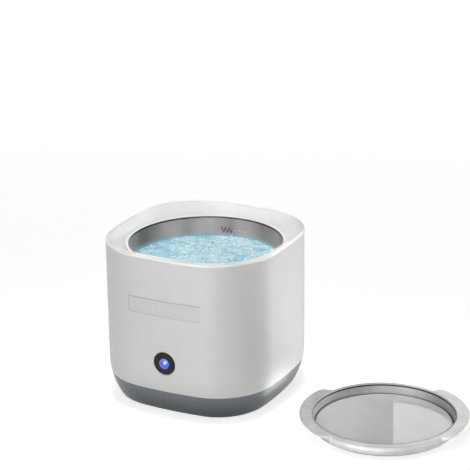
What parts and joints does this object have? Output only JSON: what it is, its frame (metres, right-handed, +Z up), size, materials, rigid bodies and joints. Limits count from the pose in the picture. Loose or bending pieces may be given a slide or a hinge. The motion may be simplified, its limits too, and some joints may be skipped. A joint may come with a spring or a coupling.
{
  "type": "ultrasonic lens cleaner",
  "caption": "Bench-top ultrasonic cleaner: rounded-square housing with a round steel tank, a push button with a lit lens and a lift-off windowed lid lying beside it.",
  "frame": {"origin": "on the table, at the centre of the foot ring under the middle of the housing", "axes": "+Z up along the tank's axis; the front with the button faces -Y; the lid lies on the table at +X"},
  "size_m": [0.2271, 0.1112, 0.1],
  "materials": {
    "housing_abs": "pearl white, satin gloss",
    "base_abs": "mid grey, satin",
    "foot_rubber": "matte black",
    "screw_steel": "zinc plated",
    "label_film": "matte silver film",
    "tank_steel": "deep drawn, brushed round",
    "silicone": "translucent grey",
    "epoxy": "amber",
    "piezo_ceramic": "silvered ceramic",
    "button_abs": "black, satin gloss",
    "lens_polycarbonate": "blue, lit from behind",
    "switch_plastic": "moulded black",
    "board_laminate": "green solder mask",
    "led_epoxy": "clear",
    "inlet_nylon": "moulded black",
    "contact_brass": "tinned brass",
    "sink_aluminium": "extruded",
    "chip_epoxy": "moulded black",
    "ferrite": "ground dark grey",
    "bobbin_nylon": "natural",
    "winding_copper": "enamelled copper wire",
    "capacitor_sleeve": "shrunk sleeve",
    "capacitor_case": "moulded box",
    "fuse_glass": "clear tube",
    "socket_nylon": "natural",
    "lead_insulation": "PVC",
    "lid_steel": "pressed, brushed round",
    "window_glass": "clear float glass"
  },
  "bodies": {
    "device": {"upper_housing": "housing_abs", "base_shell": "base_abs", "foot_ring": "foot_rubber", "base_screws": "screw_steel", "blank_label": "label_film", "badge_plate": "housing_abs", "tank": "tank_steel", "tank_gasket": "silicone", "bond_layer": "epoxy", "piezo_disc": "piezo_ceramic", "tactile_switch": "switch_plastic", "switch_board": "board_laminate", "switch_board_screws": "screw_steel", "status_led": "led_epoxy", "inlet_body": "inlet_nylon", "inlet_pin": "contact_brass", "inlet_nut": "screw_steel", "inlet_tabs": "contact_brass", "driver_board": "board_laminate", "board_screws": "screw_steel", "heat_sink": "sink_aluminium", "power_transistors": "chip_epoxy", "transformer_core": "ferrite", "transformer_bobbin": "bobbin_nylon", "transformer_winding": "winding_copper", "supply_capacitors": "capacitor_sleeve", "film_capacitors": "capacitor_case", "controller_chip": "chip_epoxy", "fuse_clips": "contact_brass", "fuse": "fuse_glass", "board_sockets": "socket_nylon", "lead_plugs": "socket_nylon", "power_leads": "lead_insulation", "switch_leads": "lead_insulation", "drive_leads": "lead_insulation"},
    "button": {"button_cap": "button_abs", "button_lens": "lens_polycarbonate", "switch_plunger": "switch_plastic"},
    "lid": {"lid_ring": "lid_steel", "window_seal": "silicone", "lid_window": "window_glass"}
  },
  "joints": [
    {"name": "button_press", "type": "slide", "parent": "device", "child": "button", "axis": [0, 1, 0], "range_m": [0, 0.0005], "stiffness_N_per_m": 1200, "springref_m": -0.0004},
    {"name": "lid_lift", "type": "slide", "parent": "device", "child": "lid", "axis": [0, 0, 1], "range_m": [0, 0.14]}
  ]
}
